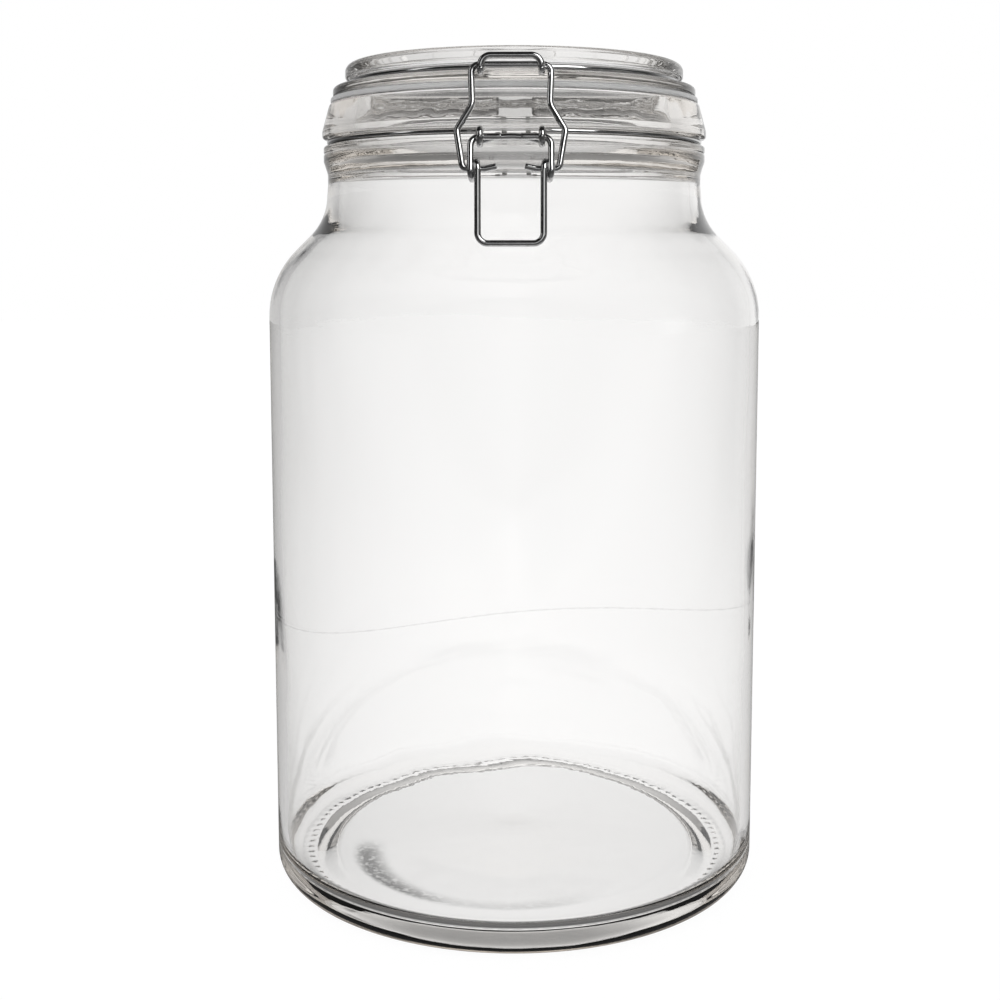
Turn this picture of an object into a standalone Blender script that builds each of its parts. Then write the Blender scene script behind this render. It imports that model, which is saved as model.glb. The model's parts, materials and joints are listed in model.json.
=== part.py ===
"""Clip-top glass storage jar with a wire bail clamp: the design model.

Units are metres, +Z is up and -Y is the front, where the clamp is. The jar stands on Z = 0 with its axis
on the Z axis. Glass and gasket are turned outlines, and each of the four wires is one bent wire: its route
is worked out from the glass that it rides on and from the pivots that it forms.
"""

import math

import bpy
from mathutils import Vector

MM = 0.001

# --- clearances and wire -----------------------------------------------------------------------------
GAP = 0.3 * MM  # between two pieces that touch
WIRE_D = 2.1 * MM
WIRE_R = WIRE_D / 2
LOOP_R = WIRE_D + GAP  # centre line of a loop of wire that turns round a pin of the same wire
BEND_R = 1.7 * MM  # tight bend of the wire, at a pin or a hook
SLACK = WIRE_R + GAP  # from a surface to the centre line of a wire that lies on it

# --- jar: finish, from the mouth outwards and from the land down ------------------------------------
LAND_Z = 276.0 * MM  # the face that the gasket seals on
MOUTH_R = 56.5 * MM
LAND_WIDTH = 9.2 * MM
COLLAR_FLARE = 2.6 * MM  # how much wider the collar is at its foot than at the land
COLLAR_H = 12.0 * MM
COLLAR_FOOT_H = 2.5 * MM  # the upright part at the collar's foot
BEAD_INSET = 0.4 * MM  # each radius below is this much inside the collar's foot
GROOVE_INSET = 4.0 * MM
NECK_INSET = 1.8 * MM
BEAD_H = 2.7 * MM
BEAD_DIP = 0.45 * MM  # depth of the dip between the two beads
COLLAR_TOP_R = MOUTH_R + LAND_WIDTH
COLLAR_FOOT_R = COLLAR_TOP_R + COLLAR_FLARE
BEAD_R = COLLAR_FOOT_R - BEAD_INSET
GROOVE_H = WIRE_D + 2 * GAP
GROOVE_Z = LAND_Z - COLLAR_H - GROOVE_H / 2  # centre line of the neck wire
GROOVE_FLOOR_R = COLLAR_FOOT_R - GROOVE_INSET
RING_R = GROOVE_FLOOR_R + SLACK
LAND_EDGE_R = 1.2 * MM
MOUTH_EDGE_R = 1.5 * MM
COLLAR_CURVE_R = 2.0 * MM
COLLAR_EDGE_R = 0.8 * MM
GROOVE_CORNER_R = 0.6 * MM
BEAD_EDGE_R = 0.6 * MM
BEAD_DIP_R = 0.3 * MM
BEAD_FOOT_R = 1.2 * MM

# --- jar: neck, shoulder, wall and foot --------------------------------------------------------------
BODY_R = 87.8 * MM
NECK_R = COLLAR_FOOT_R - NECK_INSET
NECK_FLARE = 1.1 * MM  # how much wider the neck is just above the shoulder
NECK_FOOT_R = NECK_R + NECK_FLARE
WAIST_FALL = 24.5 * MM  # from the land down to the straight part of the neck
TAPER_FALL = 28.0 * MM  # from the land down to the end of that straight part
SHOULDER_FALL = 40.6 * MM  # from the land down to where the slope would meet the neck
WAIST_R = 4.0 * MM  # rounding at both ends of the straight part
SLOPE_LENGTH = (BODY_R - NECK_FOOT_R) * math.sqrt(2)  # the shoulder falls as fast as it widens
EIGHTH_TURN = math.tan(math.pi / 8)  # what a rounding takes of each side, as a share of its radius
SHOULDER_SHARE = 0.4785  # share of the slope that its rounding into the wall takes
NECK_SHARE = 0.29  # share of the slope that its rounding into the neck takes
SHOULDER_R = SLOPE_LENGTH * SHOULDER_SHARE / EIGHTH_TURN
NECK_FLARE_R = SLOPE_LENGTH * NECK_SHARE / EIGHTH_TURN
SLOPE_SUM = NECK_FOOT_R + LAND_Z - SHOULDER_FALL  # radius plus height at any point of the slope
HEEL_R = 7.0 * MM
FOOT_WIDTH = 7.0 * MM  # flat ring that the jar stands on
FOOT_EDGE_R = 0.8 * MM
PUSH_UP = 6.0 * MM  # height of the hollow under the base
ARCH_RUN = 4.0 * MM  # the steep side of that hollow: how far in and how far up it goes
ARCH_RISE = 3.5 * MM
ARCH_R = 6.0 * MM

# --- jar: inside -------------------------------------------------------------------------------------
WALL = 3.6 * MM
FLOOR_T = 7.0 * MM  # glass over the push-up
FLOOR_DISH = 6.0 * MM  # how much lower the floor is at its edge
INNER_HEEL_R = 7.0 * MM
NECK_WALL = 4.2 * MM
MOUTH_H = 17.0 * MM  # depth of the straight mouth below the land
SHELF_FALL = 9.0 * MM  # the slope under the mouth
SHELF_R = 6.0 * MM
SHELF_FOOT_R = 8.0 * MM

# --- gasket ------------------------------------------------------------------------------------------
GASKET_T = 1.8 * MM
GASKET_INSET = 0.5 * MM  # from the edge of the land
GASKET_EDGE_R = 0.5 * MM
GASKET_R = COLLAR_TOP_R - GASKET_INSET

# --- lid ---------------------------------------------------------------------------------------------
PLUG_CLEARANCE = 3.0 * MM  # all round, between the lid's plug and the mouth
PLUG_H = 6.4 * MM
PLUG_WALL = 6.0 * MM
PLUG_SLOPE_RUN = 3.0 * MM  # from the plug's lip in and up to the underside
PLUG_SLOPE_RISE = 4.0 * MM
FLANGE_INSET = 1.3 * MM  # from the edge of the land
FLANGE_T = 3.5 * MM
LID_GROOVE_DEPTH = 7.7 * MM
LID_GROOVE_H = WIRE_D + 2 * GAP
RIM_OUT = 3.3 * MM  # how far the rim stands out over the wire's groove
RIM_H = 5.4 * MM
RIM_WIDTH = 6.0 * MM
DISH_RUN = 5.0 * MM  # width of the slope from the rim into the dished top
TOP_DISH = 4.0 * MM  # depth of the dished top inside the rim
LID_CENTRE_T = 7.0 * MM
PLUG_R = MOUTH_R - PLUG_CLEARANCE
FLANGE_R = COLLAR_TOP_R - FLANGE_INSET
LID_GROOVE_FLOOR_R = FLANGE_R - LID_GROOVE_DEPTH
LID_RING_R = LID_GROOVE_FLOOR_R + SLACK
RIM_R = LID_GROOVE_FLOOR_R + RIM_OUT
FLANGE_Z = LAND_Z + GAP + GASKET_T + GAP  # underside of the flange
FLANGE_TOP_Z = FLANGE_Z + FLANGE_T
LID_RING_Z = FLANGE_TOP_Z + LID_GROOVE_H / 2
RIM_Z = FLANGE_TOP_Z + LID_GROOVE_H
LID_TOP_Z = RIM_Z + RIM_H
UNDERSIDE_R = 5.0 * MM
PLUG_LIP_R = 1.5 * MM
PLUG_EDGE_R = 2.0 * MM
PLUG_ROOT_R = 0.5 * MM
FLANGE_LOW_R = 0.9 * MM
FLANGE_TOP_R = 1.3 * MM
LID_GROOVE_CORNER_R = 0.7 * MM
RIM_LOW_R = 1.1 * MM
RIM_TOP_R = 2.6 * MM
RIM_INNER_R = 2.2 * MM
DISH_R = 6.0 * MM

# --- pivots ------------------------------------------------------------------------------------------
EYE_REACH = 3.9 * MM  # from the bridge of the neck wire out to the lever pivot
BRIDGE_Y = -(BEAD_R + SLACK)
LEVER_PIVOT = Vector((0, BRIDGE_Y - EYE_REACH, GROOVE_Z - LOOP_R))
LEVER_ARM = 10.0 * MM
OVER_CENTRE = 1.0 * MM  # how far the bail's pins stand in front of the lever's pins
BAIL_PIVOT = LEVER_PIVOT - Vector((0, OVER_CENTRE, LEVER_ARM))
HINGE_REACH = 0.6 * MM  # from the collar to the loops behind it
LID_HINGE = Vector((0, COLLAR_FOOT_R + HINGE_REACH + LOOP_R + WIRE_R, GROOVE_Z + LOOP_R))

# --- clamp wires: half widths from the middle --------------------------------------------------------
EYE_X = 9.6 * MM
CRADLE_X = 9.5 * MM
HANDLE_X = 10.2 * MM
COIL_PLAY = 0.2 * MM
COIL_PITCH = WIRE_D + COIL_PLAY
LEG_X = HANDLE_X + COIL_PITCH
BAIL_FOOT_X = LEG_X + LOOP_R
BAIL_HIP_X = 16.9 * MM
BAIL_WAIST_X = 12.1 * MM
BAIL_TOP_X = 12.5 * MM
LEVER_PIN_END_X = 3.1 * MM
BAIL_PIN_END_X = 4.4 * MM
DROP_X = 5.5 * MM
HINGE_PLAY = 0.2 * MM  # between the drop's bend and the loop beside it
HINGE_PIN_SPARE = 1.5 * MM  # how far the pin stands out of its loop
REAR_EYE_X = DROP_X + BEND_R + WIRE_R + HINGE_PLAY
HINGE_PIN_END_X = REAR_EYE_X + WIRE_R + HINGE_PIN_SPARE

# --- clamp wires: heights and depths -----------------------------------------------------------------
LEVER_LENGTH = 32.9 * MM  # from the lever's pivot down to the handle's bar
HANDLE_STANDOFF = 0.49 * MM  # between the handle's bar and the shoulder, over the gap
HANDLE_CORNER_R = 3.2 * MM
TROUGH_DEPTH = 1.6 * MM  # from the flange's top down to the floor of the cradle in front of it
TROUGH_BACK_OUT = 1.2 * MM
TROUGH_BEND_R = 1.36 * MM
TROUGH_Z = FLANGE_TOP_Z - TROUGH_DEPTH
TROUGH_BACK_Y = -(FLANGE_R + TROUGH_BACK_OUT)
BAR_Y = TROUGH_BACK_Y - LOOP_R
BAR_Z = TROUGH_Z + LOOP_R
BAR_RELEASE = 1.4 * MM  # room for the bar to swing forward as the lever lets go
CRADLE_FRONT_Y = BAR_Y - LOOP_R - BAR_RELEASE
CRADLE_COVER = 2.4 * MM  # how far the cradle's bar stands over the bail's
CRADLE_TOP_Z = BAR_Z + CRADLE_COVER
HIP_DROP = 20.4 * MM  # from the bail's bar down to its hips
WAIST_DROP = 12.5 * MM
BAIL_TOP_CORNER_R = 2.55 * MM
BAIL_WAIST_CORNER_R = 5.1 * MM
BAIL_HIP_CORNER_R = 2.55 * MM
DROP_CORNER_R = 3.4 * MM
BRIDGE_RISE = 1.2 * MM  # from the foot of each eye up to the bridge
BRIDGE_BOW = 1.5 * MM  # how far the bridge bows up between the eyes
COIL_HANG = 0.4 * MM  # the coil hangs from the bail's pin, so it is this much larger and lower
LEG_BEND_R = 3.0 * MM
CRADLE_CORNER_R = 3.2 * MM
REAR_LOOP_SWEEP = 255.0  # degrees of wire round each hinge pin

# --- fineness ----------------------------------------------------------------------------------------
TURN_STEPS = 56
GLASS_SAG = 0.14 * MM  # how far a rounded corner's short sides may stand off its arc
WIRE_SAG = 0.05 * MM
WIRE_RESOLUTION = 1  # gives the wire 8 sides


def clear_scene():
    for obj in list(bpy.data.objects):
        bpy.data.objects.remove(obj)


def material(name, colour, roughness, metallic=0.0, transmission=0.0, ior=1.5):
    made = bpy.data.materials.new(name)
    made.use_nodes = True
    shader = made.node_tree.nodes["Principled BSDF"]
    shader.inputs["Base Color"].default_value = (*colour, 1)
    shader.inputs["Roughness"].default_value = roughness
    shader.inputs["Metallic"].default_value = metallic
    shader.inputs["Transmission Weight"].default_value = transmission
    shader.inputs["IOR"].default_value = ior
    made.diffuse_color = (*colour, 1)
    return made


def sides_of(radius, turn, sag):
    """How many short sides an arc takes to stay within the sag."""
    return max(2, math.ceil(turn / (2 * math.acos(1 - sag / radius))))


def rounded(corners, sag=WIRE_SAG):
    """The corner points with each corner replaced by an arc of its radius. A corner is (point, radius)."""
    points = [corners[0][0]]
    for (before, _), (corner, radius), (after, _) in zip(corners, corners[1:], corners[2:]):
        come = (corner - before).normalized()
        go = (after - corner).normalized()
        turn = come.angle(go)
        if radius == 0 or turn < 1e-6:
            points.append(corner)
            continue
        tangent = radius * math.tan(turn / 2)
        inward = (go - come).normalized()
        centre = corner + inward * radius / math.cos(turn / 2)
        out = (corner - come * tangent) - centre
        count = sides_of(radius, turn, sag)
        for k in range(count + 1):
            angle = turn * k / count
            points.append(centre + out * math.cos(angle) + come * radius * math.sin(angle))
    points.append(corners[-1][0])
    return points


def corner2(r, z, radius=0.0):
    """A corner of a turned outline, in the plane Y = 0."""
    return Vector((r, 0, z)), radius


def corner3(x, y, z, radius=0.0):
    """A corner of a wire's route."""
    return Vector((x, y, z)), radius


def arc_yz(x, centre, radius, start, sweep, shift=0.0):
    """Points of a turn about an axis along X. Degrees run from the front (-Y) over the top; x moves by shift."""
    count = sides_of(radius, math.radians(abs(sweep)), WIRE_SAG)
    points = []
    for k in range(count + 1):
        angle = math.radians(start + sweep * k / count)
        y = centre.y - radius * math.cos(angle)
        z = centre.z + radius * math.sin(angle)
        points.append(Vector((x + shift * k / count, y, z)))
    return points


def ring_side(radius, z, front_x, rear_x):
    """Points of the right half of a ring, from the front round to the rear, between two half widths."""
    front = math.asin(front_x / radius)
    rear = math.pi - math.asin(rear_x / radius)
    step = math.tau / TURN_STEPS
    angles = [front]
    angles += [k * step for k in range(TURN_STEPS) if front + step / 2 < k * step < rear - step / 2]
    angles.append(rear)
    return [Vector((radius * math.sin(a), -radius * math.cos(a), z)) for a in angles]


def with_mirror(half):
    """A route given from its middle outwards on the right, made whole."""
    left = [Vector((-p.x, p.y, p.z)) for p in reversed(half[1:])]
    return left + half


def turned(name, outline, shader, closed=False):
    """A solid turned round the Z axis. Its outline starts under the solid and runs up its outer side."""
    mesh = bpy.data.meshes.new(name)
    edges = [(k, k + 1) for k in range(len(outline) - 1)]
    if closed:
        edges.append((len(outline) - 1, 0))
    mesh.from_pydata(outline, edges, [])
    mesh.materials.append(shader)
    obj = bpy.data.objects.new(name, mesh)
    bpy.context.scene.collection.objects.link(obj)
    screw = obj.modifiers.new("Turn", "SCREW")
    screw.steps = TURN_STEPS
    screw.render_steps = TURN_STEPS
    screw.use_merge_vertices = True
    screw.merge_threshold = 0.00001
    screw.use_normal_flip = True
    screw.use_smooth_shade = True
    return obj


def wire(name, route, shader, origin):
    """A bent wire with cut ends, its object's origin at a pivot."""
    curve = bpy.data.curves.new(name, "CURVE")
    curve.dimensions = "3D"
    curve.bevel_depth = WIRE_R
    curve.bevel_resolution = WIRE_RESOLUTION
    curve.use_fill_caps = True
    curve.materials.append(shader)
    spline = curve.splines.new("POLY")
    spline.points.add(len(route) - 1)
    for point, place in zip(spline.points, route):
        point.co = (*(place - origin), 1)
    spline.use_smooth = True
    obj = bpy.data.objects.new(name, curve)
    obj.location = origin
    bpy.context.scene.collection.objects.link(obj)
    return obj


def jar_outline():
    shelf_z = LAND_Z - MOUTH_H
    bead_top = GROOVE_Z - GROOVE_H / 2
    bead_dip_z = bead_top - BEAD_H
    collar_foot_z = bead_top + GROOVE_H
    arch_r = BODY_R - HEEL_R - FOOT_WIDTH
    floor_z = PUSH_UP + FLOOR_T
    inside_r = BODY_R - WALL
    neck_inside = NECK_R - NECK_WALL
    inner_slope_sum = SLOPE_SUM - WALL * math.sqrt(2)
    return rounded(
        [
            corner2(0, PUSH_UP),
            corner2(arch_r - ARCH_RUN, ARCH_RISE, ARCH_R),
            corner2(arch_r, 0, FOOT_EDGE_R),
            corner2(BODY_R, 0, HEEL_R),
            corner2(BODY_R, SLOPE_SUM - BODY_R, SHOULDER_R),
            corner2(NECK_FOOT_R, LAND_Z - SHOULDER_FALL, NECK_FLARE_R),
            corner2(NECK_R, LAND_Z - TAPER_FALL, WAIST_R),
            corner2(NECK_R, LAND_Z - WAIST_FALL, WAIST_R),
            corner2(BEAD_R, bead_dip_z - BEAD_H, BEAD_FOOT_R),
            corner2(BEAD_R, bead_dip_z - BEAD_DIP, BEAD_EDGE_R),
            corner2(BEAD_R - BEAD_DIP, bead_dip_z, BEAD_DIP_R),
            corner2(BEAD_R, bead_dip_z + BEAD_DIP, BEAD_EDGE_R),
            corner2(BEAD_R, bead_top, COLLAR_EDGE_R),
            corner2(GROOVE_FLOOR_R, bead_top, GROOVE_CORNER_R),
            corner2(GROOVE_FLOOR_R, collar_foot_z, GROOVE_CORNER_R),
            corner2(COLLAR_FOOT_R, collar_foot_z, COLLAR_EDGE_R),
            corner2(COLLAR_FOOT_R, collar_foot_z + COLLAR_FOOT_H, COLLAR_CURVE_R),
            corner2(COLLAR_TOP_R, LAND_Z, LAND_EDGE_R),
            corner2(MOUTH_R, LAND_Z, MOUTH_EDGE_R),
            corner2(MOUTH_R, shelf_z, SHELF_R),
            corner2(neck_inside, shelf_z - SHELF_FALL, SHELF_FOOT_R),
            corner2(neck_inside, inner_slope_sum - neck_inside, NECK_FLARE_R),
            corner2(inside_r, inner_slope_sum - inside_r, SHOULDER_R - WALL),
            corner2(inside_r, floor_z - FLOOR_DISH, INNER_HEEL_R),
            corner2(0, floor_z),
        ],
        GLASS_SAG,
    )


def lid_outline():
    dish_z = LID_TOP_Z - TOP_DISH
    plug_z = FLANGE_Z - PLUG_H
    lip_r = PLUG_R - PLUG_WALL
    rim_inside = RIM_R - RIM_WIDTH
    return rounded(
        [
            corner2(0, dish_z - LID_CENTRE_T),
            corner2(lip_r - PLUG_SLOPE_RUN, plug_z + PLUG_SLOPE_RISE, UNDERSIDE_R),
            corner2(lip_r, plug_z, PLUG_LIP_R),
            corner2(PLUG_R, plug_z, PLUG_EDGE_R),
            corner2(PLUG_R, FLANGE_Z, PLUG_ROOT_R),
            corner2(FLANGE_R, FLANGE_Z, FLANGE_LOW_R),
            corner2(FLANGE_R, FLANGE_TOP_Z, FLANGE_TOP_R),
            corner2(LID_GROOVE_FLOOR_R, FLANGE_TOP_Z, LID_GROOVE_CORNER_R),
            corner2(LID_GROOVE_FLOOR_R, RIM_Z, LID_GROOVE_CORNER_R),
            corner2(RIM_R, RIM_Z, RIM_LOW_R),
            corner2(RIM_R, LID_TOP_Z, RIM_TOP_R),
            corner2(rim_inside, LID_TOP_Z, RIM_INNER_R),
            corner2(rim_inside - DISH_RUN, dish_z, DISH_R),
            corner2(0, dish_z),
        ],
        GLASS_SAG,
    )


def gasket_outline():
    inner = PLUG_R + GAP
    bottom = LAND_Z + GAP
    top = bottom + GASKET_T
    middle = (inner + GASKET_R) / 2
    loop = [
        corner2(middle, bottom),
        corner2(GASKET_R, bottom, GASKET_EDGE_R),
        corner2(GASKET_R, top, GASKET_EDGE_R),
        corner2(inner, top, GASKET_EDGE_R),
        corner2(inner, bottom, GASKET_EDGE_R),
        corner2(middle, bottom),
    ]
    return rounded(loop, GLASS_SAG)[:-1]


def neck_wire_route():
    """From the middle of the bridge, through an eye for the lever, round the neck, to a loop for the lid's pin."""
    pivot_y = LEVER_PIVOT.y
    low_z = LEVER_PIVOT.z - LOOP_R
    bridge = rounded(
        [
            corner3(0, BRIDGE_Y, low_z + BRIDGE_RISE + BRIDGE_BOW),
            corner3(EYE_X, BRIDGE_Y, low_z + BRIDGE_RISE, BEND_R),
            corner3(EYE_X, pivot_y, low_z),
        ]
    )
    eye = arc_yz(EYE_X, LEVER_PIVOT, LOOP_R, -90, 180)
    ring = ring_side(RING_R, GROOVE_Z, EYE_X + 2 * BEND_R, REAR_EYE_X + 2 * BEND_R)
    front_y = -math.sqrt(RING_R**2 - EYE_X**2)
    into_ring = rounded(
        [corner3(EYE_X, pivot_y, GROOVE_Z), corner3(EYE_X, front_y, GROOVE_Z, BEND_R), (ring[0], 0)]
    )
    rear_y = math.sqrt(RING_R**2 - REAR_EYE_X**2)
    out_of_ring = rounded(
        [
            (ring[-1], 0),
            corner3(REAR_EYE_X, rear_y, GROOVE_Z, BEND_R),
            corner3(REAR_EYE_X, LID_HINGE.y, GROOVE_Z),
        ]
    )
    loop = arc_yz(REAR_EYE_X, LID_HINGE, LOOP_R, 270, -REAR_LOOP_SWEEP)
    return with_mirror(
        bridge + eye[1:] + into_ring[1:] + ring[1:] + out_of_ring[1:] + loop[1:]
    )


def lid_wire_route():
    """From the middle of the cradle's bar, down and back over the flange, round the lid, to a hinge pin."""
    ring = ring_side(LID_RING_R, LID_RING_Z, CRADLE_X + 2 * BEND_R, DROP_X + 2 * BEND_R)
    front_y = -math.sqrt(LID_RING_R**2 - CRADLE_X**2)
    cradle = rounded(
        [
            corner3(0, CRADLE_FRONT_Y, CRADLE_TOP_Z),
            corner3(CRADLE_X, CRADLE_FRONT_Y, CRADLE_TOP_Z, CRADLE_CORNER_R),
            corner3(CRADLE_X, CRADLE_FRONT_Y, TROUGH_Z, BEND_R),
            corner3(CRADLE_X, TROUGH_BACK_Y, TROUGH_Z, TROUGH_BEND_R),
            corner3(CRADLE_X, TROUGH_BACK_Y, LID_RING_Z, TROUGH_BEND_R),
            corner3(CRADLE_X, front_y, LID_RING_Z, BEND_R),
            (ring[0], 0),
        ]
    )
    rear_y = math.sqrt(LID_RING_R**2 - DROP_X**2)
    rear = rounded(
        [
            (ring[-1], 0),
            corner3(DROP_X, rear_y, LID_RING_Z, BEND_R),
            corner3(DROP_X, LID_HINGE.y, LID_RING_Z, DROP_CORNER_R),
            corner3(DROP_X, LID_HINGE.y, LID_HINGE.z, BEND_R),
            corner3(HINGE_PIN_END_X, LID_HINGE.y, LID_HINGE.z),
        ]
    )
    return with_mirror(cradle + ring[1:] + rear[1:])


def bail_route():
    """From the middle of the bar, down past the waist and the hips, to a pin that points inwards."""
    down = BAIL_PIVOT - Vector((0, BAR_Y, BAR_Z))
    lean = down.y / down.z

    def side(x, drop, radius):
        return corner3(x, BAR_Y - drop * lean, BAR_Z - drop, radius)

    return with_mirror(
        rounded(
            [
                side(0, 0, 0),
                side(BAIL_TOP_X, 0, BAIL_TOP_CORNER_R),
                side(BAIL_WAIST_X, WAIST_DROP, BAIL_WAIST_CORNER_R),
                side(BAIL_HIP_X, HIP_DROP, BAIL_HIP_CORNER_R),
                corner3(BAIL_FOOT_X, BAIL_PIVOT.y, BAIL_PIVOT.z, BEND_R),
                corner3(BAIL_PIN_END_X, BAIL_PIVOT.y, BAIL_PIVOT.z),
            ]
        )
    )


def lever_route():
    """From the middle of the handle's bar, up one arm, once round the bail's pin, up to a pin that points inwards."""
    bar_z = LEVER_PIVOT.z - LEVER_LENGTH
    bar_y = bar_z - SLOPE_SUM - (SLACK + HANDLE_STANDOFF) * math.sqrt(2)
    coil_r = LOOP_R + COIL_HANG
    coil_centre = BAIL_PIVOT - Vector((0, 0, COIL_HANG))
    front_y = coil_centre.y - coil_r
    arm = rounded(
        [
            corner3(0, bar_y, bar_z),
            corner3(HANDLE_X, bar_y, bar_z, HANDLE_CORNER_R),
            corner3(HANDLE_X, front_y, coil_centre.z),
        ]
    )
    coil = arc_yz(HANDLE_X, coil_centre, coil_r, 0, 360, shift=COIL_PITCH)
    leg = rounded(
        [
            corner3(LEG_X, front_y, coil_centre.z),
            corner3(LEG_X, LEVER_PIVOT.y, LEVER_PIVOT.z, LEG_BEND_R),
            corner3(LEVER_PIN_END_X, LEVER_PIVOT.y, LEVER_PIVOT.z),
        ]
    )
    return with_mirror(arm + coil[1:] + leg[1:])


def main():
    clear_scene()
    glass = material("clear_glass", (0.93, 0.95, 0.94), 0.03, transmission=1.0)
    steel = material("polished_wire", (0.62, 0.62, 0.63), 0.18, metallic=1.0)
    rubber = material("clear_silicone", (0.86, 0.86, 0.84), 0.45)
    turned("glass_jar", jar_outline(), glass)
    turned("glass_lid", lid_outline(), glass)
    turned("gasket", gasket_outline(), rubber, closed=True)
    wire("neck_wire", neck_wire_route(), steel, Vector((0, 0, GROOVE_Z)))
    wire("lid_wire", lid_wire_route(), steel, LID_HINGE)
    wire("lever", lever_route(), steel, LEVER_PIVOT)
    wire("bail", bail_route(), steel, BAIL_PIVOT)


if __name__ == "__main__":
    main()
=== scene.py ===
"""Looks for the clip-top glass jar: fine glass, wire and rubber surfaces on the jar's frame.

Everything is in metres. -Y is the front, where the clamp is, and the jar's axis is the Z axis.
"""

import json
import math

import bpy
import numpy as np
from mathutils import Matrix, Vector

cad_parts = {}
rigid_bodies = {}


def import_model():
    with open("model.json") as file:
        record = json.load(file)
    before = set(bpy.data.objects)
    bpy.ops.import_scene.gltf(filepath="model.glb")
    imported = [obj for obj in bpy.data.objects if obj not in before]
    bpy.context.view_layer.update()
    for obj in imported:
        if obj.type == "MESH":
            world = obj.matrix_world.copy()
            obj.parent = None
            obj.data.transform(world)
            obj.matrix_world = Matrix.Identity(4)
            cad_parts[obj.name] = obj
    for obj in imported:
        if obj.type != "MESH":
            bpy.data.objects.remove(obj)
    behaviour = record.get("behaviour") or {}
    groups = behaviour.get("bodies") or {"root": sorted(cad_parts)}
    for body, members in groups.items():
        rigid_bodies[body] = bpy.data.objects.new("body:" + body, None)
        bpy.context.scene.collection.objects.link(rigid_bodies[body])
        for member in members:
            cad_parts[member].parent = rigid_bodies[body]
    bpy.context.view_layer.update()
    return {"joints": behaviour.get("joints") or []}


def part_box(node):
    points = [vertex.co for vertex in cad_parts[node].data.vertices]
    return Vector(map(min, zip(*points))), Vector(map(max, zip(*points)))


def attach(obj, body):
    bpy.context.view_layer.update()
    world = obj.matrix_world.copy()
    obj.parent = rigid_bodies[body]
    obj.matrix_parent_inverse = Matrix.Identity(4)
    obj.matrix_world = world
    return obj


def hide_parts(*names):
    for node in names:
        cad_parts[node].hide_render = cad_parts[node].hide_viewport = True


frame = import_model()

bl_info = {
    "name": "Clip-top jar",
    "version": (1, 0, 0),
    "blender": (4, 5, 0),
    "location": "View3D > Sidebar > Jar",
    "description": "Builds a clear glass jar with a wire bail clamp around its frame",
    "category": "Object",
}

MM = 0.001

# --- sizes that the frame gives -----------------------------------------------------------------------
BODY_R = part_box("glass_jar")[1].x
LAND_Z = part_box("glass_jar")[1].z
FLANGE_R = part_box("glass_lid")[1].x
LID_FOOT_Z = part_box("glass_lid")[0].z
LID_TOP_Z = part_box("glass_lid")[1].z
GASKET_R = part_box("gasket")[1].x
GASKET_FOOT_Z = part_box("gasket")[0].z
GASKET_TOP_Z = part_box("gasket")[1].z
JOINT_AT = {joint["name"]: np.array(joint["pos_m"]) for joint in frame["joints"]}
LEVER_PIVOT = JOINT_AT["lever_pivot"]
BAIL_PIVOT = JOINT_AT["bail_pivot"]
LID_HINGE = JOINT_AT["lid_hinge"]

# --- wire ---------------------------------------------------------------------------------------------
GAP = 0.3 * MM
WIRE_D = 2.1 * MM
WIRE_R = WIRE_D / 2
LOOP_R = WIRE_D + GAP
BEND_R = 1.7 * MM
SLACK = WIRE_R + GAP

# --- glass jar ----------------------------------------------------------------------------------------
SHOULDER_TOP_Z = 235.4 * MM
SHOULDER_R = 33.0 * MM
NECK_FLARE_R = 20.0 * MM
HEEL_R = 7.0 * MM
FOOT_WIDTH = 7.0 * MM
PUSH_UP = 6.0 * MM
NECK_R = 66.5 * MM
NECK_FOOT_R = 67.6 * MM
NECK_WAIST_Z = 251.5 * MM
NECK_FOOT_Z = 245.0 * MM
MOUTH_R = 56.5 * MM
COLLAR_TOP_R = 65.7 * MM
COLLAR_FOOT_R = 68.3 * MM
COLLAR_H = 12.0 * MM
BEAD_R = 67.9 * MM
BEAD_H = 2.7 * MM
BEAD_DIP = 0.45 * MM
GROOVE_H = WIRE_D + 2 * GAP
GROOVE_Z = LAND_Z - COLLAR_H - GROOVE_H / 2
GROOVE_FLOOR_R = 64.3 * MM
RING_R = GROOVE_FLOOR_R + SLACK
WALL = 3.6 * MM
FLOOR_T = 7.0 * MM
FLOOR_DISH = 6.0 * MM
INNER_HEEL_R = 7.0 * MM
NECK_WALL = 4.2 * MM
COLLAR_INSIDE_H = 17.0 * MM
ARCH_RUN = 9.0 * MM  # how far in from the foot ring the underside has nearly reached its height
ARCH_SHORT = 2.0 * MM  # and how much it then still lacks
ARCH_R = 12.0 * MM
FOOT_EDGE_R = 2.0 * MM
WAIST_R = 4.0 * MM
NECK_TAPER_H = 3.0 * MM
BEAD_FOOT_R = 1.2 * MM
BEAD_EDGE_R = 0.6 * MM
BEAD_DIP_R = 0.3 * MM
COLLAR_EDGE_R = 0.8 * MM
COLLAR_FOOT_H = 2.5 * MM
COLLAR_CURVE_R = 2.0 * MM
COLLAR_LIP_R = 1.2 * MM
MOUTH_LIP_R = 1.5 * MM
GROOVE_CORNER_R = 0.6 * MM
SHELF_R = 6.0 * MM
SHELF_FALL = 9.0 * MM
SHELF_FOOT_R = 8.0 * MM

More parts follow.
